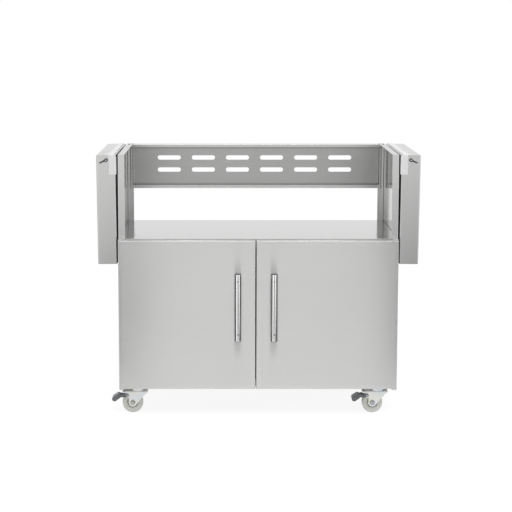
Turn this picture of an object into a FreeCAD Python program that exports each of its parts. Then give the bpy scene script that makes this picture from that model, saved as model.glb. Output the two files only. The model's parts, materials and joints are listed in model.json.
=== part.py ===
"""Grill cart: folded stainless cabinet with two doors, fold-down side shelves and four casters.

Millimetres, +X to the right, +Y to the back, +Z up.
The origin lies on the floor under the middle of the cart, handles included.
"""
import FreeCAD, Part
import math
import os

V = FreeCAD.Vector

# Sheet metal
sheet = 1.2
bend = 3.0
flange = 24.0
touch = 0.3
running = 0.06
near = 0.1

# Cabinet
cart_width = 980.0
cart_depth = 540.0
rim_height = 930.0
deck_height = 635.0
deck_edge = 30.0
base_height = 105.0
floor_edge = 26.0

# Back panels
back_depth = 20.0
back_side_gap = 11.0
back_height = 171.0
back_top_lip = 14.0
back_side_lip = 8.0
slot_length = 88.0
slot_height = 16.5
slot_pitch = 130.0
slot_columns = 6
slot_row_pitch = 46.0
slot_first_row = 55.0
slot_offset = -5.0
vent_length = 150.0
vent_height = 12.0
vent_pitch = 210.0
vent_columns = 4
vent_row_inset = 60.0

# Doors
door_thickness = 22.0
door_clearance = 5.0
door_bottom = 103.0
door_top_drop = 3.0
door_gap = 2.5
door_meeting = -8.0
door_bend = 2.5
door_lip = 10.0
liner_sheet = 1.0

# Door pivots
pivot_inset = 9.0
pivot_depth = 9.0
pin_radius = 3.0
pin_reach = 12.0
pin_head_radius = 5.5
pin_head = 2.0
pivot_plate = 2.5
pivot_plate_width = 18.0
pivot_plate_leg = 32.0
pivot_gap = 1.0
pin_collar = 0.8

# Door handles and catches
handle_radius = 12.0
handle_length = 238.0
handle_height = 401.0
handle_from_edge = 62.0
handle_reach = 39.0
handle_chamfer = 1.5
post_radius = 6.0
post_pitch = 187.0
catch_width = 44.0
catch_height = 16.0
catch_from_edge = 68.0
catch_drop = 14.0
catch_round = 1.5
strike_sheet = 1.2

# Side shelves, folded down
shelf_thickness = 68.0
shelf_drop = 385.0
shelf_gap = 7.0
shelf_lean = 0.5
shelf_bend = 4.0
shelf_lip = 8.0
strap_sheet = 2.0
strap_bend = 1.8
strap_width = 26.0
strap_over = 2.5
ear_drop = 70.0
ear_round = 4.0
ear_shoulder = 7.5
stiffener_width = 90.0
stiffener_depth = 18.0
stiffener_brim = 16.0
stiffener_slope = 6.0
bumper_radius = 7.0
bumper_inset = 70.0

# Shelf pivots and the arms that carry them
shelf_pivot_in = 33.0
shelf_pivot_down = 19.0
bolt_radius = 4.0
shoulder_radius = 8.0
bolt_head = 4.0
rear_cap = 1.5
rear_cap_radius = 5.6
arm_sheet = 4.0
arm_inset = 14.0
arm_hub_radius = 9.0
arm_leg_width = 12.0
foot_top = 52.0
foot_height = 50.0
foot_length = 46.0

# Clamp lever on the front shelf pivot
lever_hub_radius = 6.0
lever_hub_front = 9.0
lever_length = 25.0
lever_root_radius = 2.6
lever_tip_radius = 1.8
lever_slope = 24.0

# Casters
caster_side_inset = 61.0
caster_inset = 60.0
plate_length = 118.0
plate_width = 82.0
plate_sheet = 3.0
plate_corner = 8.0
race_radius = 25.0
race_height = 10.0
kingpin_radius = 6.0
kingpin_head_radius = 11.0
kingpin_head = 3.0
wheel_radius = 37.0
wheel_width = 25.0
tread_depth = 18.0
tread_bevel = 3.0
hub_length = 30.4
hub_boss_radius = 11.0
hub_web = 10.0
hub_hole_radius = 2.6
hub_hole_count = 6
trail = 18.0
axle_radius = 6.0
axle_head_radius = 9.0
axle_head = 4.0
fork_sheet = 3.0
fork_gap = 31.0
fork_bend = 6.0
crown_front = 36.0
leg_foot_radius = 14.0
leg_front = 7.0
leg_knee_height = 44.0
nose_height = 46.0
nose_turn = 15.0
ear_radius = 8.0
ear_root_back = 22.0
ear_root_height = 64.0
ear_root_radius = 10.0
tongue_back = 55.0

# Brake pedal on the front casters
pedal_pivot_back = 38.0
pedal_pivot_height = 64.0
rivet_radius = 2.2
rivet_head_radius = 3.8
rivet_head = 2.0
cheek_sheet = 2.5
cheek_radius = 6.0
neck_radius = 3.5
paddle_root_back = 70.0
paddle_root_height = 60.0
paddle_root_radius = 8.5
paddle_tip_back = 83.0
paddle_tip_height = 51.0
paddle_tip_radius = 9.0
paddle_bevel = 1.5

# Planes worked out from the sizes above
half_width = cart_width / 2
door_front_stack = handle_reach + handle_radius + door_thickness + door_clearance
whole_depth = door_front_stack + cart_depth
front = door_front_stack - whole_depth / 2
rear = front + cart_depth
door_back = front - door_clearance
door_front = door_back - door_thickness
door_top = deck_height - door_top_drop
side_bottom = base_height + sheet
web_inside = half_width - sheet
deck_front = front + bend
back_half = web_inside - back_side_gap
left_meeting = door_gap / 2 - door_meeting
right_meeting = door_gap / 2 + door_meeting
back_rear = rear - sheet
back_front = back_rear - back_depth
pivot_x = half_width - pivot_inset
pivot_y = door_front + pivot_depth
shelf_inside = half_width + shelf_gap
shelf_axis_x = shelf_inside + shelf_pivot_in
shelf_axis_z = rim_height - shelf_pivot_down
caster_from_middle = half_width - caster_side_inset
crown_back = trail + leg_foot_radius


def block(x0, x1, y0, y1, z0, z1):
    """Box between two corners."""
    return Part.makeBox(x1 - x0, y1 - y0, z1 - z0, V(x0, y0, z0))


def rod(x, y, z, direction, radius, length):
    """Round bar from a point along a direction."""
    return Part.makeCylinder(radius, length, V(x, y, z), V(*direction))


def edges_at(solid, x=None, y=None, z=None):
    """Edges whose middle lies at the given coordinates."""
    wanted = [(axis, place) for axis, place in enumerate((x, y, z)) if place is not None]
    return [
        edge for edge in solid.Edges
        if all(abs(edge.CenterOfMass[axis] - place) < near for axis, place in wanted)]


def bent_block(low, high, radius, axis, ends):
    """Box whose edges are rounded round the faces that end an axis: ends holds -1, 1 or both."""
    size = [b - a for a, b in zip(low, high)]
    solid = Part.makeBox(*size, V(*low))
    folds = []
    for end in ends:
        plane = high[axis] if end > 0 else low[axis]
        folds += edges_at(solid, **{"xyz"[axis]: plane})
    return solid.makeFillet(radius, folds)


def folded_pan(low, high, axis, outward, radius, lips=None):
    """Sheet pan open on one side; lips gives the return widths at the edges along the other axes."""
    ends = (-outward,) if lips is None else (-1, 1)
    inner_low = [a + sheet for a in low]
    inner_high = [b - sheet for b in high]
    window_low, window_high = list(inner_low), list(inner_high)
    if lips is None:
        # the walls end square at the open side, so the hollow runs on past it
        if outward > 0:
            inner_high[axis] = high[axis] + sheet
        else:
            inner_low[axis] = low[axis] - sheet
    pan = bent_block(low, high, radius, axis, ends)
    pan = pan.cut(bent_block(inner_low, inner_high, radius - sheet, axis, ends))
    if lips is None:
        return pan
    for other, lip in lips.items():
        window_low[other] = low[other] + lip
        window_high[other] = high[other] - lip
    if outward > 0:
        window_low[axis], window_high[axis] = high[axis] - 2 * sheet, high[axis] + sheet
    else:
        window_low[axis], window_high[axis] = low[axis] - sheet, low[axis] + 2 * sheet
    size = [b - a for a, b in zip(window_low, window_high)]
    return pan.cut(Part.makeBox(*size, V(*window_low)))


def obround(x, z, length, height, y0, y1):
    """Slot cutter with round ends, long side along X, cut through along Y."""
    run = length / 2 - height / 2
    bar = block(x - run, x + run, y0, y1, z - height / 2, z + height / 2)
    ends = [rod(x + side * run, y0, z, (0, 1, 0), height / 2, y1 - y0) for side in (-1, 1)]
    return bar.fuse(ends)


def link_plate(a, ra, b, rb, y0, y1):
    """Plate in the XZ plane round two circles and the tangents that join them."""
    run = math.hypot(b[0] - a[0], b[1] - a[1])
    heading = math.atan2(b[1] - a[1], b[0] - a[0])
    lift = math.acos((ra - rb) / run)

    def on(centre, radius, angle):
        return V(centre[0] + radius * math.cos(angle), y0, centre[1] + radius * math.sin(angle))

    left, right = heading + lift, heading - lift
    edges = [
        Part.makeLine(on(a, ra, left), on(b, rb, left)),
        Part.Arc(on(b, rb, left), on(b, rb, heading), on(b, rb, right)).toShape(),
        Part.makeLine(on(b, rb, right), on(a, ra, right)),
        Part.Arc(on(a, ra, right), on(a, ra, heading + math.pi), on(a, ra, left)).toShape(),
    ]
    return Part.Face(Part.Wire(edges)).extrude(V(0, y1 - y0, 0))


def turned(points, axis_start, axis):
    """Solid of revolution from (radius, along) points round an axis that starts at a point."""
    wire = Part.makePolygon([V(r, 0, a) for r, a in points + points[:1]])
    solid = Part.Face(wire).revolve(V(0, 0, 0), V(0, 0, 1), 360)
    solid.Placement = FreeCAD.Placement(V(*axis_start), FreeCAD.Rotation(V(0, 0, 1), V(*axis)))
    return solid


def mirrored(shape):
    """The same piece on the other side of the cart."""
    return shape.mirror(V(0, 0, 0), V(1, 0, 0))


def caster_spots():
    """Swivel axis of each caster, by name."""
    spots = {}
    for row, y in (("front", front + caster_inset), ("rear", rear - caster_inset)):
        for side, x in (("left", -caster_from_middle), ("right", caster_from_middle)):
            spots[row + "_" + side] = (x, y)
    return spots


# Cabinet

def side_panel():
    """Left side: folded pan open to the inside."""
    low = (-half_width, front, side_bottom)
    high = (-half_width + flange, rear, rim_height)
    return folded_pan(low, high, 0, 1, bend)


def upper_back_panel():
    """Pan at the back of the grill bay, lipped all round, with two rows of vent slots."""
    top = rim_height - sheet - touch
    bottom = rim_height - back_height
    lips = {0: back_side_lip, 2: back_top_lip}
    panel = folded_pan((-back_half, back_front, bottom), (back_half, back_rear, top), 1, -1, bend, lips)
    for row in range(2):
        z = rim_height - slot_first_row - row * slot_row_pitch
        for column in range(slot_columns):
            x = slot_offset + (column - (slot_columns - 1) / 2) * slot_pitch
            panel = panel.cut(obround(x, z, slot_length, slot_height, back_front, rear))
    return panel


def lower_back_panel():
    """Pan that closes the back of the cabinet, with a row of vents near its top and its bottom."""
    bottom = side_bottom + sheet + touch
    top = deck_height - deck_edge - touch
    lips = {0: back_side_lip, 2: back_top_lip}
    panel = folded_pan((-back_half, back_front, bottom), (back_half, back_rear, top), 1, -1, bend, lips)
    for z in (bottom + vent_row_inset, top - vent_row_inset):
        for column in range(vent_columns):
            x = (column - (vent_columns - 1) / 2) * vent_pitch
            panel = panel.cut(obround(x, z, vent_length, vent_height, back_front, rear))
    return panel


def deck():
    """Sheet under the grill bay with its four edges folded down."""
    low = (-web_inside, deck_front, deck_height - deck_edge)
    high = (web_inside, rear - bend, deck_height)
    return folded_pan(low, high, 2, -1, bend)


def floor_pan():
    """Flat floor under the side panels, folded up at the front and the back between them."""
    between = half_width - flange - touch
    top = base_height + floor_edge
    trough = block(-between, between, front, rear, base_height, top)
    trough = trough.makeFillet(bend, edges_at(trough, x=0, z=base_height))
    hollow = block(-half_width, half_width, front + sheet, rear - sheet, side_bottom, top + sheet)
    hollow = hollow.makeFillet(bend - sheet, edges_at(hollow, x=0, z=side_bottom))
    wings = block(-web_inside, web_inside, front + bend, rear - bend, base_height, side_bottom)
    return trough.cut(hollow).fuse(wings).removeSplitter()


# Doors, each drawn on the left with its meeting edge a given way from the cart's middle

def door_skin(meeting):
    """Pan with return lips, pierced top and bottom for its pivot pins."""
    low = (-half_width, door_front, door_bottom)
    high = (-meeting, door_back, door_top)
    lips = {0: door_lip, 2: door_lip}
    skin = folded_pan(low, high, 1, 1, door_bend, lips)
    bore = pin_radius + running
    hole = rod(-pivot_x, pivot_y, door_bottom - sheet, (0, 0, 1), bore, door_top - door_bottom + 2 * sheet)
    return skin.cut(hole)


def door_liner(meeting):
    """Flat sheet that closes the door from inside its lips."""
    inset = door_bend + touch
    return block(
        -half_width + inset, -meeting - inset,
        door_back - sheet - liner_sheet, door_back - sheet,
        door_bottom + inset, door_top - inset)


def handle_bar(meeting):
    """Round bar with chamfered ends."""
    cut = handle_chamfer
    foot = (-meeting - handle_from_edge, door_front - handle_reach, handle_height - handle_length / 2)
    return turned([
        (0, 0), (handle_radius - cut, 0), (handle_radius, cut), (handle_radius, handle_length - cut),
        (handle_radius - cut, handle_length), (0, handle_length)], foot, (0, 0, 1))


def handle_posts(meeting):
    """Two round posts, hollowed at the end to fit the bar."""
    bar = handle_bar(meeting)
    posts = []
    for lift in (-post_pitch / 2, post_pitch / 2):
        start = (-meeting - handle_from_edge, door_front, handle_height + lift)
        posts.append(rod(*start, (0, -1, 0), post_radius, handle_reach).cut(bar))
    return posts


def strike_plate(meeting):
    """Steel plate on the liner that the magnet holds."""
    top = deck_height - catch_drop
    middle = -meeting - catch_from_edge
    return block(
        middle - catch_width / 2, middle + catch_width / 2,
        door_back - sheet, door_back - sheet + strike_sheet,
        top - catch_height, top)


def magnet_catch(meeting):
    """Slim magnet bar on the deck's front edge, in reach of the strike plate."""
    top = deck_height - catch_drop
    face = door_back - sheet + strike_sheet + touch
    middle = -meeting - catch_from_edge
    return bent_block(
        (middle - catch_width / 2, face, top - catch_height),
        (middle + catch_width / 2, deck_front, top), catch_round, 1, (-1,))


def pivot_bracket(upper):
    """Angle plate of one door pivot: a tongue past the door's edge, a leg behind the door."""
    if upper:
        tongue_z, leg_z = door_top + pivot_gap, door_top + pivot_gap + pivot_plate - pivot_plate_leg
    else:
        tongue_z, leg_z = door_bottom - pivot_gap - pivot_plate, door_bottom - pivot_gap - pivot_plate
    x0 = -pivot_x - pivot_plate_width / 2
    x1 = -pivot_x + pivot_plate_width / 2
    y0 = pivot_y - pin_head_radius
    tongue = block(x0, x1, y0, front, tongue_z, tongue_z + pivot_plate)
    leg = block(x0, x1, front - pivot_plate, front, leg_z, leg_z + pivot_plate_leg)
    plate = tongue.fuse(leg).removeSplitter()
    outside = tongue_z + pivot_plate if upper else tongue_z
    plate = plate.makeFillet(pivot_plate, edges_at(plate, y=front, z=outside))
    return plate.cut(rod(-pivot_x, pivot_y, tongue_z - pivot_plate, (0, 0, 1), pin_radius, 3 * pivot_plate))


def pivot_pin(upper):
    """Pin of one door pivot: head on the tongue, collar that keeps the door off it."""
    if upper:
        start, way = (-pivot_x, pivot_y, door_top), (0, 0, 1)
    else:
        start, way = (-pivot_x, pivot_y, door_bottom), (0, 0, -1)
    tongue = pivot_gap + pivot_plate
    return turned([
        (0, -pin_reach), (pin_radius, -pin_reach),
        (pin_radius, pivot_gap - pin_collar), (pin_head_radius, pivot_gap - pin_collar),
        (pin_head_radius, pivot_gap), (pin_radius, pivot_gap),
        (pin_radius, tongue), (pin_head_radius, tongue),
        (pin_head_radius, tongue + pin_head), (0, tongue + pin_head)], start, way)


# Side shelves

def lean(shape):
    """The left shelf's slight rest tilt round its pivot, foot towards the cart."""
    tilted = shape.copy()
    tilted.rotate(V(-shelf_axis_x, 0, shelf_axis_z), V(0, 1, 0), -shelf_lean)
    return tilted


def shelf_pan():
    """Left shelf: deep pan with its open side to the cart, lipped all round."""
    low = (-shelf_inside - shelf_thickness, front + strap_sheet, rim_height - shelf_drop)
    high = (-shelf_inside, rear - strap_sheet, rim_height - strap_sheet)
    lips = {1: shelf_lip, 2: shelf_lip}
    pan = folded_pan(low, high, 0, 1, shelf_bend, lips)
    bore = bolt_radius + running
    hole = rod(-shelf_axis_x, front, shelf_axis_z, (0, 1, 0), bore, cart_depth)
    return lean(pan.cut(hole))


def shelf_strap():
    """Bright strap over the shelf's hinge end, turned down into an ear at the front and the back."""
    x0 = -shelf_inside - strap_width + strap_over
    x1 = -shelf_inside + strap_over
    web = block(x0, x1 - ear_shoulder, front, rear, rim_height - strap_sheet, rim_height)
    folds = edges_at(web, y=front, z=rim_height) + edges_at(web, y=rear, z=rim_height)
    web = web.makeFillet(strap_bend, folds)
    ears = []
    for y in (front, rear - strap_sheet):
        ear = block(x0, x1, y, y + strap_sheet, rim_height - ear_drop, rim_height - strap_sheet)
        corners = edges_at(ear, y=y + strap_sheet / 2)
        low = [edge for edge in corners if edge.CenterOfMass.z < rim_height - ear_drop / 2]
        high = [edge for edge in corners if edge not in low and edge.CenterOfMass.x > x0 + strap_width / 2]
        ears.append(ear.makeFillet(ear_round, low).common(ear.makeFillet(ear_shoulder, high)))
    return lean(web.fuse(ears).removeSplitter())


def shelf_stiffener():
    """Hat channel across the underside of the shelf's top sheet."""
    face = -shelf_inside - shelf_thickness + sheet
    y0 = front + strap_sheet + shelf_bend + touch
    y1 = rear - strap_sheet - shelf_bend - touch
    middle = rim_height - shelf_drop / 2
    half = stiffener_width / 2
    brim = half + stiffener_brim
    crest = half - stiffener_slope
    deep = stiffener_depth
    outline = [
        (0, -brim), (sheet, -brim), (sheet, -half), (deep, -crest), (deep, crest), (sheet, half),
        (sheet, brim), (0, brim), (0, half - sheet), (deep - sheet, crest - sheet),
        (deep - sheet, sheet - crest), (0, sheet - half)]
    points = [V(face + out, y0, middle + up) for out, up in outline + outline[:1]]
    return lean(Part.Face(Part.makePolygon(points)).extrude(V(0, y1 - y0, 0)))


def shelf_bumpers():
    """Rubber buttons on the shelf's bottom lip that rest against the cabinet."""
    z = rim_height - shelf_drop + bumper_radius + sheet
    drop = shelf_axis_z - z
    thickness = shelf_gap - drop * math.sin(math.radians(shelf_lean)) - 2 * touch
    pads = []
    for y in (front + bumper_inset, rear - bumper_inset):
        pads.append(lean(rod(-shelf_inside, y, z, (1, 0, 0), bumper_radius, thickness)))
    return pads


def shelf_arm():
    """Front arm of the left shelf: hub at the pivot, leg down, foot bent along the cabinet side."""
    y0 = front + arm_inset
    y1 = y0 + arm_sheet
    hub = (-shelf_axis_x, shelf_axis_z)
    foot_z1 = shelf_axis_z - foot_top
    foot_z0 = foot_z1 - foot_height
    knee = (-shelf_axis_x, foot_z0 + arm_leg_width / 2)
    leg = link_plate(hub, arm_hub_radius, knee, arm_leg_width / 2, y0, y1)
    reach = block(-shelf_axis_x, -half_width, y0, y1, foot_z0, foot_z1)
    foot = block(-half_width - arm_sheet, -half_width, y0, y0 + foot_length, foot_z0, foot_z1)
    arm = leg.fuse([reach, foot]).removeSplitter()
    arm = arm.makeFillet(arm_sheet, edges_at(arm, x=-half_width, y=y0))
    through = arm_sheet + 2 * sheet
    return arm.cut(rod(-shelf_axis_x, y0 - sheet, shelf_axis_z, (0, 1, 0), bolt_radius, through))


def front_to_back(shape):
    """The same piece at the other end of the cart's depth."""
    return shape.mirror(V(0, (front + rear) / 2, 0), V(0, 1, 0))


def pivot_bolt(outer_end):
    """Shoulder bolt of a left shelf pivot; the shank passes the shelf wall, the shoulder spaces the arm."""
    skirt_inside = strap_sheet + sheet
    shoulder_start = skirt_inside + touch
    arm_end = arm_inset + arm_sheet
    return turned([
        (0, outer_end[0][1])] + outer_end + [
        (bolt_radius, shoulder_start), (shoulder_radius, shoulder_start),
        (shoulder_radius, arm_inset), (bolt_radius, arm_inset),
        (bolt_radius, arm_end), (shoulder_radius, arm_end),
        (shoulder_radius, arm_end + bolt_head), (0, arm_end + bolt_head)],
        (-shelf_axis_x, front, shelf_axis_z), (0, 1, 0))


def shelf_pivot_bolts():
    """Front bolt with a plain end for the clamp lever, and back bolt with a flat cap."""
    plain_end = [(bolt_radius, -lever_hub_front + 2 * touch)]
    cap_face = strap_sheet - touch
    cap = [
        (rear_cap_radius, cap_face - rear_cap), (rear_cap_radius, cap_face), (bolt_radius, cap_face)]
    return [pivot_bolt(plain_end), front_to_back(pivot_bolt(cap))]


def clamp_lever():
    """Small lever on the front pivot bolt: round hub and a tapering arm that points out and down."""
    hub_run = lever_hub_front + strap_sheet - touch
    bore = bolt_radius + running
    hub = turned([
        (0, 0), (lever_hub_radius - lever_tip_radius, 0), (lever_hub_radius, lever_tip_radius),
        (lever_hub_radius, hub_run), (bore, hub_run), (bore, touch), (0, touch)], (0, 0, 0), (0, 1, 0))
    slope = math.radians(lever_slope)
    way = V(-math.cos(slope), 0, -math.sin(slope))
    inside_wall = (bore + lever_hub_radius) / 2
    root = V(0, lever_root_radius + lever_tip_radius, 0) + way * inside_wall
    arm = Part.makeCone(lever_root_radius, lever_tip_radius, lever_length - inside_wall, root, way)
    lever = hub.fuse(arm.cut(rod(0, 0, 0, (0, 1, 0), bore, hub_run)))
    return lever.translated(V(-shelf_axis_x, front - lever_hub_front, shelf_axis_z))


# Casters, each drawn with its swivel axis at X = Y = 0 and the wheel trailing to -X

def caster_levels():
    """Heights of the swivel's parts, from the plate down."""
    plate_under = base_height - plate_sheet
    upper_race = plate_under - race_height
    lower_race = upper_race - touch
    crown_top = lower_race - race_height
    crown_under = crown_top - fork_sheet
    return plate_under, upper_race, lower_race, crown_top, crown_under


def caster_plate():
    """Top plate with its race and the kingpin that carries the fork."""
    plate_under, upper_race, lower_race, crown_top, crown_under = caster_levels()
    plate = block(-plate_length / 2, plate_length / 2, -plate_width / 2, plate_width / 2,
                  plate_under, base_height)
    plate = plate.makeChamfer(plate_corner, edges_at(plate, z=base_height - plate_sheet / 2))
    head_top = crown_under - touch
    kingpin = turned([
        (0, plate_under), (race_radius, plate_under), (race_radius, upper_race),
        (kingpin_radius, upper_race), (kingpin_radius, head_top), (kingpin_head_radius, head_top),
        (kingpin_head_radius, head_top - kingpin_head), (0, head_top - kingpin_head)],
        (0, 0, 0), (0, 0, 1))
    return plate.fuse(kingpin)


def rounded_along_x(solid, top, half, radius):
    """Round the two top edges of a block that run along X at Y = +half and -half."""
    return solid.makeFillet(radius, edges_at(solid, y=half, z=top) + edges_at(solid, y=-half, z=top))


def leg_outline(top, axle):
    """Fork leg as a face at Y = 0: an upright plate whose lower edges close round the axle."""
    heel = V(axle[0] - leg_foot_radius, 0, axle[1])
    knee = V(leg_front, 0, leg_knee_height)
    away = knee - V(axle[0], 0, axle[1])
    turn = math.atan2(away.z, away.x) - math.acos(leg_foot_radius / away.Length)
    toe = V(axle[0] + leg_foot_radius * math.cos(turn), 0, axle[1] + leg_foot_radius * math.sin(turn))
    bottom = V(axle[0], 0, axle[1] - leg_foot_radius)
    corners = [heel, V(heel.x, 0, top), V(leg_front, 0, top), knee, toe]
    edges = [Part.makeLine(a, b) for a, b in zip(corners, corners[1:])]
    edges.append(Part.Arc(toe, bottom, heel).toShape())
    return Part.Face(Part.Wire(edges))


def fork_leg(top, braked):
    """Leg at the front, its outer face at Y = 0: plate, nose that is turned inwards, ear for the brake."""
    axle = (-trail, wheel_radius)
    leg = leg_outline(top, axle).extrude(V(0, fork_sheet, 0))
    run = crown_front - leg_front
    corners = [V(0, 0, nose_height), V(run, 0, top), V(0, 0, top), V(0, 0, nose_height)]
    nose = Part.Face(Part.makePolygon(corners)).extrude(V(0, fork_sheet, 0))
    nose.rotate(V(0, 0, 0), V(0, 0, 1), nose_turn)
    pieces = [nose.translated(V(leg_front, 0, 0))]
    if braked:
        pivot = (-pedal_pivot_back, pedal_pivot_height)
        root = (-ear_root_back, ear_root_height)
        pieces.append(link_plate(pivot, ear_radius, root, ear_root_radius, 0, fork_sheet))
    return leg.fuse(pieces)


def caster_fork(braked):
    """Bent fork: lower race on a crown, two legs to the axle; over a brake the crown has a longer tongue."""
    plate_under, upper_race, lower_race, crown_top, crown_under = caster_levels()
    inside = fork_gap / 2
    outside = inside + fork_sheet
    shoulder = crown_under - fork_bend
    back = tongue_back if braked else crown_back
    bridge = block(-back, crown_front, -outside, outside, shoulder, crown_top)
    bridge = rounded_along_x(bridge, crown_top, outside, fork_bend)
    hollow = block(-2 * crown_front, 2 * crown_front, -inside, inside, shoulder - fork_bend, crown_under)
    hollow = rounded_along_x(hollow, crown_under, inside, fork_bend - fork_sheet)
    race = rod(0, 0, crown_top, (0, 0, 1), race_radius, race_height)
    front_leg = fork_leg(shoulder + sheet, braked).translated(V(0, -outside, 0))
    back_leg = front_leg.mirror(V(0, 0, 0), V(0, 1, 0))
    fork = bridge.cut(hollow).fuse([race, front_leg, back_leg])
    through = 2 * outside + 2 * sheet
    fork = fork.cut(rod(-trail, -through / 2, wheel_radius, (0, 1, 0), axle_radius, through))
    if braked:
        fork = fork.cut(rod(-pedal_pivot_back, -through / 2, pedal_pivot_height, (0, 1, 0),
                            rivet_radius, through))
    king_hole = rod(0, 0, shoulder, (0, 0, 1), kingpin_radius + touch, lower_race - shoulder + sheet)
    return fork.cut(king_hole).removeSplitter()


def caster_axle(braked):
    """Axle bolt with a head outside each leg; the braked fork also has a rivet in each leg for the pedal."""
    inside = fork_gap / 2
    outside = inside + fork_sheet
    end = outside + axle_head
    pins = [turned([
        (0, -end), (axle_head_radius, -end), (axle_head_radius, -outside), (axle_radius, -outside),
        (axle_radius, outside), (axle_head_radius, outside), (axle_head_radius, end), (0, end)],
        (-trail, 0, wheel_radius), (0, 1, 0))]
    if braked:
        under_head = outside + touch + cheek_sheet + touch
        end = under_head + rivet_head
        for way in (-1, 1):
            pins.append(turned([
                (0, inside), (rivet_radius, inside), (rivet_radius, under_head),
                (rivet_head_radius, under_head), (rivet_head_radius, end), (0, end)],
                (-pedal_pivot_back, 0, pedal_pivot_height), (0, way, 0)))
    return pins


def wheel_hub():
    """Moulded wheel centre: long boss on the axle and a web with round holes, under the tyre."""
    seat = wheel_radius - tread_depth
    web = hub_web / 2
    half = hub_length / 2
    bore = axle_radius + running
    hub = turned([
        (bore, -half), (hub_boss_radius, -half), (hub_boss_radius, -web), (seat, -web),
        (seat, web), (hub_boss_radius, web), (hub_boss_radius, half), (bore, half)],
        (-trail, 0, wheel_radius), (0, 1, 0))
    middle = (hub_boss_radius + seat) / 2
    for number in range(hub_hole_count):
        angle = 2 * math.pi * number / hub_hole_count + math.pi / 2
        x = -trail + middle * math.cos(angle)
        z = wheel_radius + middle * math.sin(angle)
        hub = hub.cut(rod(x, -hub_web, z, (0, 1, 0), hub_hole_radius, 2 * hub_web))
    return hub


def wheel_tyre():
    """Rubber tyre with bevelled shoulders on the hub's web."""
    seat = wheel_radius - tread_depth
    half = wheel_width / 2
    return turned([
        (seat, -half), (wheel_radius - tread_bevel, -half), (wheel_radius, -half + tread_bevel),
        (wheel_radius, half - tread_bevel), (wheel_radius - tread_bevel, half), (seat, half)],
        (-trail, 0, wheel_radius), (0, 1, 0))


def brake_pedal():
    """Pedal, pressed down: a thick paddle with a cheek on each side that turns on the fork's rivets."""
    start = fork_gap / 2 + fork_sheet + touch
    end = start + cheek_sheet
    pivot = (-pedal_pivot_back, pedal_pivot_height)
    root = (-paddle_root_back, paddle_root_height)
    tip = (-paddle_tip_back, paddle_tip_height)
    paddle = link_plate(root, paddle_root_radius, tip, paddle_tip_radius, -end, end)
    paddle = paddle.makeChamfer(paddle_bevel, edges_at(paddle, y=end) + edges_at(paddle, y=-end))
    sides = ((-end, -start), (start, end))
    cheeks = [link_plate(pivot, cheek_radius, root, neck_radius, y0, y1) for y0, y1 in sides]
    bore = rod(pivot[0], -2 * end, pivot[1], (0, 1, 0), rivet_radius + running, 4 * end)
    return paddle.fuse(cheeks).cut(bore).removeSplitter()


def moved(shape, spot):
    """A caster piece at its place under the cart."""
    placed = shape.copy()
    placed.translate(V(spot[0], spot[1], 0))
    return placed


def write(name, solids):
    """Write one node from a solid or a list of solids."""
    group = solids if isinstance(solids, list) else [solids]
    shape = group[0] if len(group) == 1 else Part.makeCompound(group)
    shape.exportStep("parts/" + name + ".step")


def write_pair(name, left, right):
    """Write a left node, and a right node that is drawn on the left too and mirrored."""
    write("left_" + name, left)
    group = right if isinstance(right, list) else [right]
    write("right_" + name, [mirrored(solid) for solid in group])


os.makedirs("parts", exist_ok=True)

write_pair("side_panel", side_panel(), side_panel())
write("upper_back_panel", upper_back_panel())
write("lower_back_panel", lower_back_panel())
write("deck", deck())
write("floor_pan", floor_pan())

door_pieces = {
    "door_skin": door_skin, "door_liner": door_liner, "handle_bar": handle_bar, "handle_posts": handle_posts,
    "strike_plate": strike_plate}
for name, draw in door_pieces.items():
    write_pair(name, draw(left_meeting), draw(right_meeting))
write("magnet_catches", [magnet_catch(left_meeting), mirrored(magnet_catch(right_meeting))])

side_pieces = {
    "door_pivot_brackets": [pivot_bracket(True), pivot_bracket(False)],
    "door_pivot_pins": [pivot_pin(True), pivot_pin(False)],
    "shelf_pan": shelf_pan(), "shelf_strap": shelf_strap(), "shelf_stiffener": shelf_stiffener(),
    "shelf_bumpers": shelf_bumpers(), "shelf_arms": [shelf_arm(), front_to_back(shelf_arm())],
    "shelf_pivot_bolts": shelf_pivot_bolts(), "clamp_lever": clamp_lever()}
for name, solids in side_pieces.items():
    write_pair(name, solids, solids)

write("caster_plates", [moved(caster_plate(), spot) for spot in caster_spots().values()])
for place, spot in caster_spots().items():
    braked = place.startswith("front")
    write(place + "_fork", moved(caster_fork(braked), spot))
    write(place + "_axle", [moved(pin, spot) for pin in caster_axle(braked)])
    write(place + "_wheel_hub", moved(wheel_hub(), spot))
    write(place + "_tyre", moved(wheel_tyre(), spot))
    if braked:
        write(place + "_brake_pedal", moved(brake_pedal(), spot))
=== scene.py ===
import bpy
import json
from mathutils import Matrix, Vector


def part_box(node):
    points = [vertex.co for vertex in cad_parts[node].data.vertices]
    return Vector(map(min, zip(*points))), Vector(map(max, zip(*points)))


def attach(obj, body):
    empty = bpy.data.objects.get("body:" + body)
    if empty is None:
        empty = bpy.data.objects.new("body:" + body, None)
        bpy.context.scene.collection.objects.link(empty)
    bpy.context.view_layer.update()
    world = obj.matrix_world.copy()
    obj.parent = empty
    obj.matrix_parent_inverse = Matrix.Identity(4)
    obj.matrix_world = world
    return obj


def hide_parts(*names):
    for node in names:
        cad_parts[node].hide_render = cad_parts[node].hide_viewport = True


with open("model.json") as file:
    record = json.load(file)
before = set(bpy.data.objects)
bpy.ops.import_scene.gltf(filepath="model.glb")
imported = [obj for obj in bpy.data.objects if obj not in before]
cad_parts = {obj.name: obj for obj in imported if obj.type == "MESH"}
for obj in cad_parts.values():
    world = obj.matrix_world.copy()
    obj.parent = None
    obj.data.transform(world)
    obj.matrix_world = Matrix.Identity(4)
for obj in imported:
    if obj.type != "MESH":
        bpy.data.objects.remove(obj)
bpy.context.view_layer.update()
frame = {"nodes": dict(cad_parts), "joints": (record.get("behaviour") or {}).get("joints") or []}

import json
import math

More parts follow.
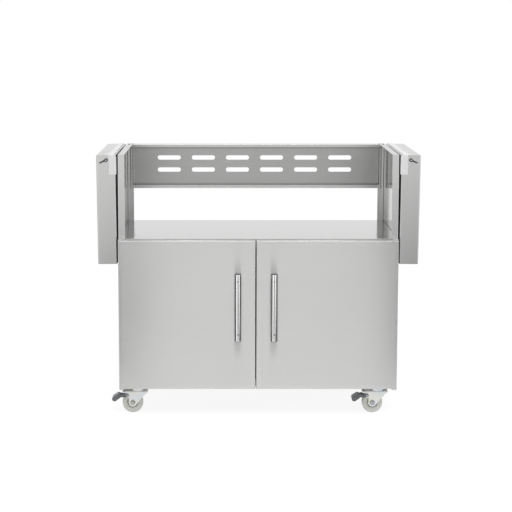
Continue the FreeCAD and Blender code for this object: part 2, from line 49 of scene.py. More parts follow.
import bmesh
import bpy
import numpy as np
from mathutils import Vector


# Floor pan
# One sheet of stainless steel, brushed lengthways, with its front and back edges folded up.
# It lies under the side panels' bottom flanges and carries the four casters.

class Wire:
    """A socket in a node tree; arithmetic on wires and numbers adds Math nodes."""

    def __init__(self, nodes, socket):
        self.nodes = nodes
        self.socket = socket

    def maths(self, operation, first, second):
        return self.nodes.node("ShaderNodeMath", {"operation": operation}, {0: first, 1: second})

    def __add__(self, other):
        return self.maths("ADD", self, other)

    def __radd__(self, other):
        return self.maths("ADD", other, self)

    def __sub__(self, other):
        return self.maths("SUBTRACT", self, other)

    def __rsub__(self, other):
        return self.maths("SUBTRACT", other, self)

    def __mul__(self, other):
        return self.maths("MULTIPLY", self, other)

    def __rmul__(self, other):
        return self.maths("MULTIPLY", other, self)

    def __abs__(self):
        return self.maths("ABSOLUTE", self, 0.0)

    def smaller(self, other):
        return self.maths("MINIMUM", self, other)

    def larger(self, other):
        return self.maths("MAXIMUM", self, other)

    def above(self, limit):
        """1 where the wire is above a limit, 0 elsewhere."""
        return self.maths("GREATER_THAN", self, limit)


class Nodes:
    """A node tree: put sets or links sockets, and node is the one method that adds any node."""

    def __init__(self, tree):
        self.tree = tree

    def put(self, node, sockets):
        for key, value in sockets.items():
            if isinstance(value, Wire):
                self.tree.links.new(value.socket, node.inputs[key])
            else:
                node.inputs[key].default_value = value

    def node(self, kind, settings=None, sockets=None, out=0):
        made = self.tree.nodes.new(kind)
        for setting, value in (settings or {}).items():
            setattr(made, setting, value)
        self.put(made, sockets or {})
        return Wire(self, made.outputs[out])

    def coordinate(self, vector, axis):
        """One coordinate of a vector."""
        return self.node("ShaderNodeSeparateXYZ", {}, {0: vector}, out=axis)

    def step(self, value, start, end):
        """0 before start, 1 after end, a smooth step between."""
        return self.node(
            "ShaderNodeMapRange", {"interpolation_type": "SMOOTHSTEP"},
            {"Value": value, "From Min": start, "From Max": end})


plain_detail = 2.0
# A face counts as looking along an axis where its normal's share of that axis is above this
square_on = 0.7


class Finish(Nodes):
    """A material on the Principled shader: constants go straight on its sockets, wires feed what varies."""

    def __init__(self, name, constants):
        self.material = bpy.data.materials.new(name)
        self.material.use_nodes = True
        super().__init__(self.material.node_tree)
        self.surface = self.tree.nodes["Principled BSDF"]
        self.put(self.surface, constants)
        self.place = self.node("ShaderNodeTexCoord", out="Object")

    def along(self, axis):
        """Place along an axis, in metres."""
        return self.coordinate(self.place, axis)

    def faces(self, axis, way):
        """1 on faces that look along an axis the given way, 1 or -1, and 0 on the others."""
        normal = self.node("ShaderNodeTexCoord", out="Normal")
        return (self.coordinate(normal, axis) * way).above(square_on)

    def noise(self, scale, detail=plain_detail):
        """Noise from 0 to 1; scale is in features per metre, one number, one for each axis or a wire."""
        stretch = (scale, scale, scale) if isinstance(scale, float) else scale
        spread = self.node("ShaderNodeMapping", {}, {"Vector": self.place, "Scale": stretch})
        return self.node("ShaderNodeTexNoise", {}, {"Vector": spread, "Scale": 1.0, "Detail": detail})

    def wave(self, scale, detail=plain_detail):
        """Noise from -0.5 to 0.5."""
        return self.noise(scale, detail) - 0.5

    def tinted(self, colour, tone):
        """One colour made lighter or darker by a wire."""
        return self.node("ShaderNodeVectorMath", {"operation": "SCALE"}, {0: colour, "Scale": tone})

    def mixed(self, factor, first, second):
        """Two colours mixed by a wire."""
        return self.node("ShaderNodeMix", {"data_type": "RGBA"}, {0: factor, 6: first, 7: second}, out=2)

    def raised(self, height, depth, strength):
        """Bump of a height wire, depth in metres."""
        return self.node(
            "ShaderNodeBump", {}, {"Height": height, "Distance": depth, "Strength": strength}, out="Normal")

    def feed(self, **sockets):
        """Wires for the shader's sockets, whose names are written in small letters."""
        self.put(self.surface, {name.replace("_", " ").title(): wire for name, wire in sockets.items()})

    def wear(self, *nodes):
        """Put the material on CAD nodes."""
        for node in nodes:
            piece = frame["nodes"][node]
            piece.data.materials.clear()
            piece.data.materials.append(self.material)


stainless = (0.63, 0.63, 0.625)
grazing_tint = (0.86, 0.86, 0.86, 1)
quarter_turn = 0.25

# Brush lines: spacing across the grain and run along it in metres, then shifts of tone and roughness
fine_line, middle_line, broad_line = 0.0008, 0.004, 0.025
fine_run, middle_run, broad_run = 0.08, 0.3, 1.2
fine_tone, middle_tone, broad_tone = 0.06, 0.015, 0.02
fine_rough, middle_rough = 0.06, 0.02
line_depth, line_strength, middle_height = 0.00003, 0.12, 0.2

haze_scale, haze_detail, haze_tone, haze_rough = 4.0, 3.0, 0.03, 0.05
rim_width, rim_end, rim_rough = 0.010, 0.016, -0.04
bend_shade_dark, bend_shade_half = 0.45, 0.0015
rolled_roughness, rolled_calm = 0.12, 0.7


def brushed_sheet(name, node, grain, turned, rims, roughness, anisotropic=0.0, colour=stainless,
                  rim_highlight_tone=0.04, shaded_bends=(), smooth_way=0, contrast=1.0):
    """Stainless sheet on one CAD node. Three noises are stretched along the grain axis, or along the turned
    axis on the faces that the folds set square to it: all three shift the tone, and the finer two also shift
    the roughness and are the bump. A slow noise is handling haze. Near the rims, the node's ends along the
    given axes, the finer lines fade out and the tone rises as a painted highlight on the folded edges. A
    shaded bend, an axis, a place and half a width, is a line of painted shade where the sheet was bent. Faces
    that look along X the smooth way, 1 or -1, keep the bright face of the rolled sheet."""
    finish = Finish(name, {
        "Metallic": 1.0, "Specular Tint": grazing_tint,
        "Anisotropic": anisotropic, "Anisotropic Rotation": quarter_turn})
    folded = finish.faces(grain, 1) + finish.faces(grain, -1)

    def lines(spacing, run):
        along, across = [
            [1 / run if axis == way else 1 / spacing for axis in "XYZ"] + [1] for way in (grain, turned)]
        return finish.wave(finish.mixed(folded, along, across))

    ends = []
    for axis in rims:
        low, high = [corner["XYZ".index(axis)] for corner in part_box(node)]
        ends += [finish.along(axis) - low, high - finish.along(axis)]
    from_rim = ends[0]
    for end in ends[1:]:
        from_rim = from_rim.smaller(end)
    rim = 1 - finish.step(from_rim, rim_width, rim_end)
    smooth = finish.faces("X", smooth_way)
    calm = (1 - rim) * (1 - smooth * rolled_calm)

    fine = lines(fine_line, fine_run) * calm
    middle = lines(middle_line, middle_run) * calm
    broad = lines(broad_line, broad_run)
    haze = finish.wave(haze_scale, haze_detail)
    shift = fine * fine_tone + middle * middle_tone + broad * broad_tone + haze * haze_tone
    # The tone rise at the rims is a painted highlight on the folded edges.
    tone = 1 + contrast * shift + rim * rim_highlight_tone
    # Each shaded bend darkens the tone along a line: painted shade at the fold.
    for axis, place, half in shaded_bends:
        from_shaded_bend = abs(finish.along(axis) - place)
        tone = tone * (1 - bend_shade_dark * (1 - finish.step(from_shaded_bend, half, 2 * half)))
    dulling = fine * fine_rough + middle * middle_rough + haze * haze_rough + rim * rim_rough
    finish.feed(
        base_color=finish.tinted(colour, tone),
        roughness=roughness - smooth * (roughness - rolled_roughness) + dulling,
        normal=finish.raised(fine + middle * middle_height, line_depth, line_strength))
    finish.wear(node)


brushed_sheet("floor_steel", "floor_pan", grain="X", turned="Z", rims="Y", roughness=0.34)


# Caster plates
# Oblong pressed plates of zinc-plated steel with a swivel race and a riveted kingpin.
# Four hex bolts fix each one to the floor pan from below.

def mottled(finish, colour, roughness, noises, bump=None):
    """A colour under noises: each has a scale in features per metre, and shifts the tone and the roughness up
    and down by its own amounts. The first is also the bump, if one is given by its depth in metres and its
    strength."""
    waves = [finish.wave(noise["scale"], noise.get("detail", plain_detail)) for noise in noises]
    tone = 1 + sum(wave * noise["tone"] for wave, noise in zip(waves, noises))
    dulling = sum(wave * noise["rough"] for wave, noise in zip(waves, noises) if "rough" in noise)
    finish.feed(base_color=finish.tinted(colour, tone), roughness=roughness + dulling)
    if bump:
        finish.feed(normal=finish.raised(waves[0], **bump))
    return finish


tint_scale, tint_detail = 28.0, 3.0
blue_below, straw_above = 0.35, 0.65


def zinc_plate(name, blue, straw):
    """Zinc plate: a slow noise moves it between a blue and a straw tint, under a mottle and level scuffs."""
    finish = Finish(name, {"Metallic": 1.0})
    tint = finish.step(finish.noise(tint_scale, tint_detail), blue_below, straw_above)
    mottle = dict(scale=160.0, tone=0.12, rough=0.16)
    scuffs = dict(scale=(40.0, 40.0, 400.0), tone=0.08, rough=0.12)
    return mottled(finish, finish.mixed(tint, blue, straw), roughness=0.36, noises=[mottle, scuffs],
                   bump=dict(depth=0.0001, strength=0.3))


zinc = zinc_plate("zinc_plate", blue=(0.70, 0.73, 0.76, 1), straw=(0.76, 0.75, 0.70, 1))
zinc.wear("caster_plates")

round_steps = 48


def lathe(profile, steps=round_steps):
    """Surface of revolution round Z: each (radius, height) of the profile at each angle t of a full circle is
    (radius * cos t, radius * sin t, height), as an array of rows, steps and coordinates."""
    radius, height = np.array(profile).T
    turn = np.linspace(0, 2 * np.pi, steps, endpoint=False)
    return np.stack([
        radius[:, None] * np.cos(turn), radius[:, None] * np.sin(turn),
        np.repeat(height[:, None], steps, axis=1)], axis=2)


def six_sided(grid, rows):
    """Some rows of a lathe made hexagons: a point's distance from the axis is divided by the cosine of its
    angle from the middle of its flat."""
    turn = np.linspace(0, 2 * np.pi, grid.shape[1], endpoint=False)
    within = (turn + np.pi / 6) % (np.pi / 3) - np.pi / 6
    grid[rows, :, :2] /= np.cos(within)[None, :, None]
    return grid


def placed(grid, spots, axis):
    """Copies of a grid that was made round Z, turned so that Z lies along an axis, one at each spot."""
    axis = np.array(axis, float)
    across = np.roll(np.abs(axis), 1)
    third = np.cross(axis, across)
    turned = grid @ np.stack([across, third, axis])
    return np.asarray(spots, float)[:, None, None, :] + turned


merge_distance = 1e-6


def surface(name, grids, body, finish, crease):
    """Mesh of closed rings: neighbouring rows and steps of every grid are joined by quads, each ring closes
    on itself, and points that fall together at a pole become one. Edges above the crease angle are sharp."""
    copies, rows, steps, _ = grids.shape
    number = np.arange(copies * rows * steps).reshape(copies, rows, steps)
    beside = np.roll(number, -1, axis=2)
    quads = np.stack([number[:, :-1], beside[:, :-1], beside[:, 1:], number[:, 1:]], axis=3).reshape(-1, 4)
    mesh = bpy.data.meshes.new(name)
    mesh.from_pydata(grids.reshape(-1, 3), [], quads)
    work = bmesh.new()
    work.from_mesh(mesh)
    bmesh.ops.remove_doubles(work, verts=work.verts, dist=merge_distance)
    bmesh.ops.recalc_face_normals(work, faces=work.faces)
    work.to_mesh(mesh)
    work.free()
    mesh.shade_smooth()
    mesh.set_sharp_from_angle(angle=math.radians(crease))
    mesh.materials.append(finish.material)
    piece = bpy.data.objects.new(name, mesh)
    bpy.context.scene.collection.objects.link(piece)
    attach(piece, body)
    return piece


washer_part, bevel_part, bevel_inset = 0.25, 0.85, 0.92
hex_crease = 25.0


def hex_head(flats, height, washer):
    """Hex head on a round washer, closed below: a lathe of base, washer, flats and a bevelled top, whose two
    rows at half the width across flats become hexagons."""
    flat = flats / 2
    washer_top = height * washer_part
    rows = [(0.0, 0.0), (washer, 0.0), (washer, washer_top), (flat, washer_top), (flat, height * bevel_part),
            (flat * bevel_inset, height), (0.0, height)]
    return six_sided(lathe(rows), slice(3, 5))


screw_black = mottled(
    Finish("screw_black", {"Metallic": 0.0}), (0.035, 0.035, 0.036), roughness=0.42,
    noises=[dict(scale=900.0, tone=0.5, rough=0.2)])

plate_sheet = 0.003
plate_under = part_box("caster_plates")[1].z - plate_sheet
bolt_along, bolt_across = 0.049, 0.031
swivels = {
    joint["child"][:-len("_swivel")]: joint["pos_m"]
    for joint in frame["joints"] if joint["child"].endswith("_swivel")}
bolt_spots = [
    (spot[0] + x, spot[1] + y, plate_under)
    for spot in swivels.values() for x in (-bolt_along, bolt_along) for y in (-bolt_across, bolt_across)]
bolt_heads = placed(hex_head(flats=0.012, height=0.0065, washer=0.0085), bolt_spots, (0, 0, -1))
surface("caster_bolts", bolt_heads, "cart", screw_black, hex_crease)


# Casters
# A bent zinc-plated fork swivels under each plate and holds a grey rubber tyre on a moulded hub.
# The front pair have a dark pedal, pressed down in the photograph, that locks the wheel.

def middle_of(node):
    """Middle of a CAD node's box."""
    low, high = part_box(node)
    return np.array(low + high) / 2


# The nuts wear a darker copy of the zinc plate: painted shade on the axle ends.
nut_steel = zinc_plate("nut_steel", blue=(0.40, 0.42, 0.44, 1), straw=(0.46, 0.46, 0.43, 1))
nut_head = hex_head(flats=0.014, height=0.006, washer=0.0085)
axle_end = 0.0225
for place in swivels:
    zinc.wear(place + "_fork")
    nut_steel.wear(place + "_axle")
    wheel_middle = middle_of(place + "_wheel_hub")
    nuts = [placed(nut_head, [wheel_middle + (0, way * axle_end, 0)], (0, way, 0)) for way in (-1, 1)]
    surface(
        place + "_axle_nuts", np.concatenate(nuts), place + "_swivel", nut_steel, hex_crease)

hub_plastic = mottled(
    Finish("hub_plastic", {"Metallic": 0.0}), (0.66, 0.67, 0.67), roughness=0.48,
    noises=[dict(scale=420.0, tone=0.25), dict(scale=30.0, tone=0.2, rough=0.15)],
    bump=dict(depth=0.0001, strength=0.4))
hub_plastic.wear(*[place + "_wheel_hub" for place in swivels])

clean_rubber, soiled_rubber = (0.73, 0.73, 0.69, 1), (0.50, 0.49, 0.46, 1)
dust_scale, dust_detail, dust_from, dust_full = 45.0, 4.0, 0.45, 0.8
soil_top, most_soil = 0.03, 0.5
tyre_rubber = Finish("tyre_rubber", {"Metallic": 0.0})
tyre_dust = tyre_rubber.step(tyre_rubber.noise(dust_scale, dust_detail), dust_from, dust_full)
near_floor = 1 - tyre_rubber.step(tyre_rubber.along("Z"), 0.0, soil_top)
mottled(
    tyre_rubber, tyre_rubber.mixed(tyre_dust * near_floor * most_soil, clean_rubber, soiled_rubber),
    roughness=0.55, noises=[dict(scale=700.0, tone=0.16, rough=0.2)], bump=dict(depth=0.00015, strength=0.5))


def rounded(points, radius, steps):
    """Profile whose inner corners are replaced by curves: each corner becomes the quadratic curve between the
    points at a given distance before and after it."""
    points = np.array(points, float)
    before, corner, after = points[:-2], points[1:-1], points[2:]
    back = before - corner
    ahead = after - corner
    start = corner + back / np.linalg.norm(back, axis=1, keepdims=True) * radius
    end = corner + ahead / np.linalg.norm(ahead, axis=1, keepdims=True) * radius
    t = np.linspace(0, 1, steps)[None, :, None]
    curve = (1 - t) ** 2 * start[:, None] + 2 * t * (1 - t) * corner[:, None] + t ** 2 * end[:, None]
    return np.vstack([points[:1], curve.reshape(-1, 2), points[-1:]])


# The tyre's section from its seat on the hub outwards: bevel, flat wall, a groove round it, shoulder, crown
rubber_depth, wall_inset = 0.018, 0.0002
seat_bevel, seat_rise = 0.0015, 0.001
groove_start, groove_middle, groove_end, groove_floor = 0.0028, 0.0034, 0.0040, 0.0010
shoulder_rise, shoulder_width, crown = 0.0030, 0.0032, 0.0004
tyre_round, tyre_round_steps, tyre_steps, tyre_crease = 0.00028, 4, 96, 50.0
for place in swivels:
    low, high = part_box(place + "_tyre")
    outer, half = (high.z - low.z) / 2, (high.y - low.y) / 2
    seat, wall = outer - rubber_depth, wall_inset - half
    section = [
        (seat, seat_bevel - half), (seat + seat_rise, wall), (seat + groove_start, wall),
        (seat + groove_middle, groove_floor - half), (seat + groove_end, wall), (outer - shoulder_rise, wall),
        (outer - crown, shoulder_width - half), (outer, 0.0)]
    half_profile = rounded(section, tyre_round, tyre_round_steps)
    profile = np.vstack([half_profile, (half_profile * (1, -1))[-2::-1], half_profile[:1]])
    ring = placed(lathe(profile, tyre_steps), [middle_of(place + "_tyre")], (0, 1, 0))
    tyre = surface(place + "_tyre_tread", ring, place + "_wheel", tyre_rubber, tyre_crease)
    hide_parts(place + "_tyre")

pedal_dark, pedal_rubbed = (0.135, 0.145, 0.15, 1), (0.36, 0.37, 0.37, 1)
rub_scale, rub_detail, rub_from, rub_full = 90.0, 4.0, 0.50, 0.72
tread_low, tread_high = 0.040, 0.062
worn_colour, worn_rough, worn_coat = 0.6, 0.15, 0.2
pedal_roughness, pedal_coat = 0.42, 0.25
pedal_plastic = Finish("pedal_plastic", {"Metallic": 0.0, "Coat Roughness": 0.25})
pedal_rub = pedal_plastic.step(pedal_plastic.noise(rub_scale, rub_detail), rub_from, rub_full)
pedal_worn = pedal_rub * (1 - pedal_plastic.step(pedal_plastic.along("Z"), tread_low, tread_high))
mottled(
    pedal_plastic, pedal_plastic.mixed(pedal_worn * worn_colour, pedal_dark, pedal_rubbed),
    roughness=pedal_roughness + pedal_worn * worn_rough, noises=[dict(scale=520.0, tone=0.2, rough=0.15)],
    bump=dict(depth=0.00012, strength=0.5))
pedal_plastic.feed(coat_weight=pedal_coat - pedal_worn * worn_coat)
pedal_plastic.wear("front_left_brake_pedal", "front_right_brake_pedal")


# Side panels
# Two tall sheets of stainless steel, each edge folded in to a flange; the top flanges are the rim.
# Outside they are brushed along the depth, inside they keep the smoother face of the rolled sheet.

collar_part, socket_floor, head_sunk = 1.35, 0.35, 0.0005
dome_rows, button_steps, button_crease = 7, 36, 30.0


def button_screws(name, spots, axis, body, finish, radius, height, socket):
    """Button-head screws with a hex socket, at spots on a face that looks along an axis. The profile, carried
    round Z, is a base under the face, a quarter ellipse as the dome and a pit whose two rows are hexagons."""
    sweep = np.linspace(0, np.pi / 2, dome_rows)
    collar = socket * collar_part
    base = [(0.0, -head_sunk), (radius, -head_sunk)]
    dome = np.stack([collar + (radius - collar) * np.cos(sweep), height * np.sin(sweep)], axis=1)
    pit = [(socket, height), (socket, height * socket_floor), (0.0, height * socket_floor)]
    head = six_sided(lathe(np.vstack([base, dome, pit]), button_steps), slice(-3, -1))
    surface(name, placed(head, spots, axis), body, finish, button_crease)


for side, inwards in (("left", 1), ("right", -1)):
    brushed_sheet(
        side + "_side_steel", side + "_side_panel", grain="Y", turned="X", rims="YZ", roughness=0.27,
        anisotropic=0.3, smooth_way=inwards)

panel_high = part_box("right_side_panel")[1]
flange_middle = middle_of("right_side_panel")[0]
rim_screw_inset = 0.075
rim_spots = [(sign * flange_middle, panel_high.y - rim_screw_inset, panel_high.z) for sign in (-1, 1)]
button_screws(
    "rim_screws", rim_spots, (0, 0, 1), "cart", screw_black, radius=0.0032, height=0.0016, socket=0.0014)

lower_screw_pitch, upper_screw_low, upper_screw_pitch = 0.145, 0.780, 0.065
back_screw_heights = [lower_screw_pitch * row for row in (1, 2, 3, 4)]
back_screw_heights += [upper_screw_low + upper_screw_pitch * row for row in (0, 1, 2)]
back_spots = [(sign * flange_middle, panel_high.y, z) for sign in (-1, 1) for z in back_screw_heights]
button_screws(
    "back_screws", back_spots, (0, 1, 0), "cart", zinc, radius=0.0045, height=0.0020, socket=0.0018)


# Back panels
# The upper one closes the grill bay and has twelve vent slots, the lower one closes the cabinet.
# Both are lipped pans of duller rolled stainless steel, screwed in from behind through the side flanges.

dull_stainless = (0.43, 0.43, 0.425)
# The back panels' lips are lightened much more than other rims: a painted highlight on the lips.
lip_highlight_tone, rolled_contrast = 0.35, 3.0
top_lip = 0.014
lip_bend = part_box("upper_back_panel")[1].z - top_lip
# The shaded bend just under the top lip is painted shade in the lip's inner corner.
brushed_sheet(
    "upper_back_steel", "upper_back_panel", grain="X", turned="Y", rims="XZ", roughness=0.30,
    colour=dull_stainless, rim_highlight_tone=lip_highlight_tone, shaded_bends=[("Z", lip_bend - bend_shade_half, bend_shade_half)],
    contrast=rolled_contrast)
brushed_sheet(
    "lower_back_steel", "lower_back_panel", grain="X", turned="Y", rims="XZ", roughness=0.32,
    colour=dull_stainless, rim_highlight_tone=lip_highlight_tone, contrast=rolled_contrast)


# Deck
# The shelf under the grill: one bright brushed sheet with its four edges folded down.
# It is fixed between the side panels, and the doors close against its front edge.

bright_stainless = (0.66, 0.66, 0.655)
# The deck's front and back folds are darkened as painted shade.
brushed_sheet(
    "deck_steel", "deck", grain="X", turned="Z", rims="XY", roughness=0.14, colour=bright_stainless,
    rim_highlight_tone=0.0, shaded_bends=[("Y", corner.y, bend_shade_half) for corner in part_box("deck")])


# Door pivots and catches
# Zinc-plated angles and pins at the corners of the opening, and a black magnet under the deck's edge.
# A flat steel plate on each door meets the magnet; one screw with a low head holds each angle.

black_plastic = mottled(
    Finish("black_plastic", {"Metallic": 0.0, "Specular IOR Level": 0.3}), (0.012, 0.012, 0.013),
    roughness=0.42, noises=[dict(scale=800.0, detail=3.0, tone=0.5), dict(scale=60.0, tone=0.4, rough=0.2)],
    bump=dict(depth=0.0001, strength=0.5))
black_plastic.wear("magnet_catches")

for side in ("left", "right"):
    zinc.wear(side + "_door_pivot_brackets", side + "_door_pivot_pins", side + "_strike_plate")

bracket_low, bracket_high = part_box("right_door_pivot_brackets")
bracket_sheet, bracket_screw_inset = 0.0025, 0.025
bracket_middle = middle_of("right_door_pivot_brackets")[0]
bracket_spots = [
    (sign * bracket_middle, bracket_high.y - bracket_sheet, z)
    for sign in (-1, 1) for z in (bracket_low.z + bracket_screw_inset, bracket_high.z - bracket_screw_inset)]
button_screws(
    "bracket_screws", bracket_spots, (0, -1, 0), "cart", zinc, radius=0.0040, height=0.0010, socket=0.0016)


# Doors
# Each is a pan of brushed stainless steel with folded edges, closed at the back by a flat liner.
# The brush lines run across, so reflections stretch up and down.

door_stainless = (0.575, 0.575, 0.57)
for side in ("left", "right"):
    brushed_sheet(
        side + "_door_steel", side + "_door_skin", grain="X", turned="Y", rims="XZ", roughness=0.31,
        anisotropic=1.0, colour=door_stainless)
    brushed_sheet(
        side + "_liner_steel", side + "_door_liner", grain="X", turned="Y", rims="XZ", roughness=0.36)


# Door handles
# A bright round tube on two posts, drawn lengthways; a dark plug in each end is painted shade at the tube's
# ends.
# A small socket screw through the tube's front holds each post.

polished = mottled(
    Finish("polished_steel", {"Metallic": 1.0}), (0.93, 0.93, 0.925), roughness=0.10,
    noises=[dict(scale=(900.0, 900.0, 12.0), tone=0.05, rough=0.04), dict(scale=35.0, tone=0.04, rough=0.04)])

chamfer, plug = 0.0006, 0.0014
plug_bevel = plug * 0.6
tube_round, tube_round_steps, tube_steps, tube_crease = 0.0002, 3, 72, 60.0
plug_round, plug_round_steps, plug_crease = 0.0003, 4, 40.0
handle_screw_sunk = 0.0003
for side in ("left", "right"):
    low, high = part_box(side + "_handle_bar")
    bar_x, bar_y, _ = middle_of(side + "_handle_bar")
    bar_radius = (high.x - low.x) / 2
    tube_length = high.z - low.z - 2 * plug
    lower_end = rounded(
        [(0.0, 0.0), (bar_radius - chamfer, 0.0), (bar_radius, chamfer), (bar_radius, 3 * chamfer)],
        tube_round, tube_round_steps)
    outline = np.vstack([lower_end, (lower_end * (1, -1) + (0, tube_length))[::-1]])
    tube = placed(lathe(outline, tube_steps), [(bar_x, bar_y, low.z + plug)], (0, 0, 1))
    bar = surface(side + "_handle_tube", tube, side + "_door", polished, tube_crease)
    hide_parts(side + "_handle_bar")

    # The black plugs are painted shade: they darken the tube's ends.
    plug_edge = bar_radius - chamfer / 2
    cap = rounded(
        [(0.0, -chamfer), (plug_edge, -chamfer), (plug_edge, plug_bevel), (plug_edge - plug_bevel, plug),
         (0.0, plug)], plug_round, plug_round_steps)
    shade_plugs = [placed(lathe(cap), [(bar_x, bar_y, z - way * plug)], (0, 0, way))
             for way, z in ((-1, low.z), (1, high.z))]
    surface(side + "_handle_plugs", np.concatenate(shade_plugs), side + "_door", screw_black,
            plug_crease)

    polished.wear(side + "_handle_posts")
    posts_low, posts_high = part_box(side + "_handle_posts")
    post_radius = (posts_high.x - posts_low.x) / 2
    post_heights = (posts_low.z + post_radius, posts_high.z - post_radius)
    screw_spots = [(bar_x, low.y + handle_screw_sunk, z) for z in post_heights]
    button_screws(
        side + "_handle_screws", screw_spots, (0, -1, 0), side + "_door", screw_black,
        radius=0.0030, height=0.0006, socket=0.0014)


# Side shelves
# Deep lipped pans of brushed stainless steel that hang from two zinc-plated arms and swing up to the rim.
# The arms are coloured near-black, painted shade for the gap they sit in. A bright strap wraps the hinge end,
# a plastic lever clamps the front pivot, and inside each pan are a hat-shaped stiffener and two rubber
# buttons.

bumper_rubber = mottled(
    Finish("bumper_rubber", {"Metallic": 0.0}), (0.03, 0.03, 0.03), roughness=0.7,
    noises=[dict(scale=600.0, tone=0.4, rough=0.2)])
# Near-black zinc for the arms: painted shade standing for the dark gap they hang in.
arm_shade_zinc = zinc_plate("dark_zinc_plate", blue=(0.045, 0.05, 0.055, 1), straw=(0.06, 0.058, 0.05, 1))
satin = (0.73, 0.73, 0.73)

for side in ("left", "right"):
    brushed_sheet(
        side + "_shelf_steel", side + "_shelf_pan", grain="Y", turned="X", rims="YZ", roughness=0.29,
        anisotropic=0.6)
    brushed_sheet(
        side + "_stiffener_steel", side + "_shelf_stiffener", grain="Y", turned="X", rims="Y", roughness=0.36)
    brushed_sheet(
        side + "_strap_satin", side + "_shelf_strap", grain="Y", turned="Z", rims="Y", roughness=0.62,
        colour=satin)
    arm_shade_zinc.wear(side + "_shelf_arms")
    zinc.wear(side + "_shelf_pivot_bolts")
    bumper_rubber.wear(side + "_shelf_bumpers")
    black_plastic.wear(side + "_clamp_lever")
    pivot = next(joint["pos_m"] for joint in frame["joints"] if joint["child"] == side + "_clamp")
    lever_front = (pivot[0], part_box(side + "_clamp_lever")[0].y, pivot[2])
    button_screws(
        side + "_clamp_screw", [lever_front], (0, -1, 0), side + "_clamp", zinc,
        radius=0.0026, height=0.0012, socket=0.0010)

arm_sheet, arm_bolt_inset, arm_bolt_rises = 0.004, 0.026, (0.013, 0.037)
arm_low, arm_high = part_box("right_shelf_arms")
arm_face = arm_low.x + arm_sheet
arm_bolt_rows = (arm_low.y + arm_bolt_inset, arm_high.y - arm_bolt_inset)
for sign, side in ((-1, "left"), (1, "right")):
    arm_spots = [(sign * arm_face, y, arm_low.z + rise) for y in arm_bolt_rows for rise in arm_bolt_rises]
    button_screws(
        side + "_arm_bolts", arm_spots, (sign, 0, 0), "cart", zinc,
        radius=0.0050, height=0.0024, socket=0.0020)


# Floor, light and camera
# A white floor and sky, a large soft lamp above the camera, a weaker one on the right and one behind.
# Reflections alone see the floor darker in places, as boards on it would show, and lose light from far to the
# side when mirrored twice and from anywhere when mirrored three times.

floor_half = 20.0
corners = np.array([[-1, -1, 0], [1, -1, 0], [1, 1, 0], [-1, 1, 0]]) * floor_half
floor_mesh = bpy.data.meshes.new("studio_floor")
floor_mesh.from_pydata(corners, [], [(0, 1, 2, 3)])
floor = bpy.data.objects.new("studio_floor", floor_mesh)
bpy.context.scene.collection.objects.link(floor)


def shown_rays(nodes):
    """1 for rays of the camera, of reflections and through glass, 0 for the rays that light the object."""
    kinds = ("Camera", "Glossy", "Transmission")
    return sum(nodes.node("ShaderNodeLightPath", out="Is " + kind + " Ray") for kind in kinds).smaller(1.0)


def mirrored_again(nodes, times):
    """1 for rays that have met more than so many reflections, 0 for the others."""
    return nodes.node("ShaderNodeLightPath", out="Glossy Depth").above(times + 0.5)


side_loss, third_loss = 0.95, 0.25


def first_sight(nodes, sideways):
    """1, but less for what lies far to the side in a second reflection, or anywhere in a third."""
    second = side_loss * mirrored_again(nodes, 1) * sideways
    third = third_loss * mirrored_again(nodes, 2)
    return 1 - second.larger(third)


studio_white = (1.0, 1.0, 1.0, 1)
ambient = 0.70
sky_side_edge = (0.3, 0.5)
world = bpy.data.worlds.new("studio")
bpy.context.scene.world = world
world.use_nodes = True
sky = Nodes(world.node_tree)
sky_way = sky.node("ShaderNodeTexCoord", out="Generated")
sky_side = sky.step(abs(sky.coordinate(sky_way, "X")), *sky_side_edge)
sky_strength = (ambient + (1 - ambient) * shown_rays(sky)) * first_sight(sky, sky_side)
sky.put(world.node_tree.nodes["Background"], {"Color": studio_white, "Strength": sky_strength})

paper = bpy.data.materials.new("studio_paper")
paper.use_nodes = True
sheet = Nodes(paper.node_tree)
floor_place = sheet.node("ShaderNodeTexCoord", out="Object")
floor_x = sheet.coordinate(floor_place, "X")
aside = abs(floor_x)
ahead = 0 - sheet.coordinate(floor_place, "Y")


def between(place, rise, top, fall, end):
    """0 up to rise, 1 from top to fall, 0 from end on, with smooth steps between."""
    return sheet.step(place, rise, top) * (1 - sheet.step(place, fall, end))


# Edges of the boards in metres, as between or a step takes them. A fan is how far a board moves outwards for
# each metre ahead, as the sight lines mirrored in the doors do.
front_ahead, front_out = (0.7, 2.6, 5.0, 6.5), (0.6, 0.9)
left_ahead, left_out, left_fan = (0.5, 0.9, 5.0, 6.5), (0.26, 0.52, 0.58, 0.78), 0.064
right_ahead, right_out, right_fan = (0.5, 0.8, 6.0, 8.5), (0.35, 0.54, 0.9, 1.2), 0.101
flank_ahead, flank_out = (0.1, 0.3), (1.0, 1.3, 5.5, 6.5)
flank_edge, flank_fan = (-0.75, -0.50), 1.9
front_dark, left_dark, right_dark, flank_dark, most_dark = 0.50, 0.80, 0.88, 0.97, 0.97
front_board = front_dark * between(ahead, *front_ahead) * (1 - sheet.step(aside, *front_out))
left_board = left_dark * between(0 - floor_x - ahead * left_fan, *left_out) * between(ahead, *left_ahead)
right_board = right_dark * between(floor_x - ahead * right_fan, *right_out) * between(ahead, *right_ahead)
flank_start = sheet.step(ahead, *flank_ahead) * sheet.step(aside - ahead * flank_fan, *flank_edge)
flank_boards = flank_dark * between(aside, *flank_out) * flank_start
boards = front_board + left_board + right_board + flank_boards

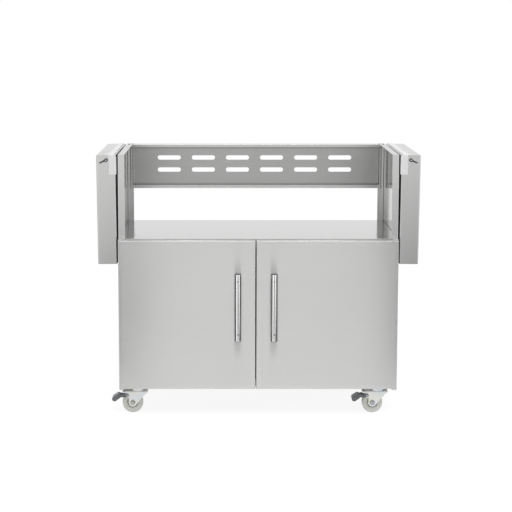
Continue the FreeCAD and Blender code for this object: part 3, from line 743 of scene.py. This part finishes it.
board_fade = 0.8
floor_side_edge, floor_side_fan = (0.4, 0.7), 0.45
paper_glow, paper_shade, paper_colour = 0.83, 0.25, (0.8, 0.8, 0.8, 1)
glossy = sheet.node("ShaderNodeLightPath", out="Is Glossy Ray") * (1 - board_fade * mirrored_again(sheet, 1))
floor_side = sheet.step(aside - ahead * floor_side_fan, *floor_side_edge)
mirrored = (1 - (glossy * boards).smaller(most_dark)) * first_sight(sheet, floor_side)
glow = sheet.node("ShaderNodeEmission", {}, {"Color": studio_white, "Strength": paper_glow * mirrored})
shade = sheet.node("ShaderNodeBsdfDiffuse", {}, {"Color": paper_shade * mirrored})
plain = sheet.node("ShaderNodeBsdfDiffuse", {}, {"Color": paper_colour})
white = sheet.node("ShaderNodeAddShader", {}, {0: glow, 1: shade})
chosen = sheet.node("ShaderNodeMixShader", {}, {0: shown_rays(sheet), 1: plain, 2: white})
sheet.put(paper.node_tree.nodes["Material Output"], {"Surface": chosen})
floor.data.materials.append(paper)

middle_of_cart = (0.0, 0.0, 0.5)


def soft_lamp(name, place, width, height, power):
    """Area lamp that faces the middle of the cart."""
    lamp = bpy.data.lights.new(name, "AREA")
    lamp.shape = "RECTANGLE"
    lamp.size = width
    lamp.size_y = height
    lamp.energy = power
    holder = bpy.data.objects.new(name, lamp)
    bpy.context.scene.collection.objects.link(holder)
    aim = Vector(middle_of_cart) - Vector(place)
    holder.location = place
    holder.rotation_euler = aim.to_track_quat("-Z", "Y").to_euler()


soft_lamp("key_lamp", place=(-0.5, -3.6, 4.2), width=3.0, height=2.0, power=60.0)
soft_lamp("fill_lamp", place=(2.6, -2.4, 2.8), width=2.0, height=2.0, power=25.0)
soft_lamp("back_lamp", place=(0.3, 3.4, 3.6), width=3.0, height=1.5, power=15.0)

picture = 512
focal_pixels = 1581.1
middle_column = 228.8
camera_place = (-0.103, -5.715, 1.378)
look_down = 8.34
camera_data = bpy.data.cameras.new("photo_camera")
camera_data.sensor_width = 36.0
camera_data.lens = focal_pixels / picture * camera_data.sensor_width
camera_data.shift_x = 0.5 - middle_column / picture
camera = bpy.data.objects.new("photo_camera", camera_data)
bpy.context.scene.collection.objects.link(camera)
camera.location = camera_place
camera.rotation_euler = (math.radians(90 - look_down), 0, 0)
bpy.context.scene.camera = camera
bpy.context.scene.view_settings.view_transform = "Standard"
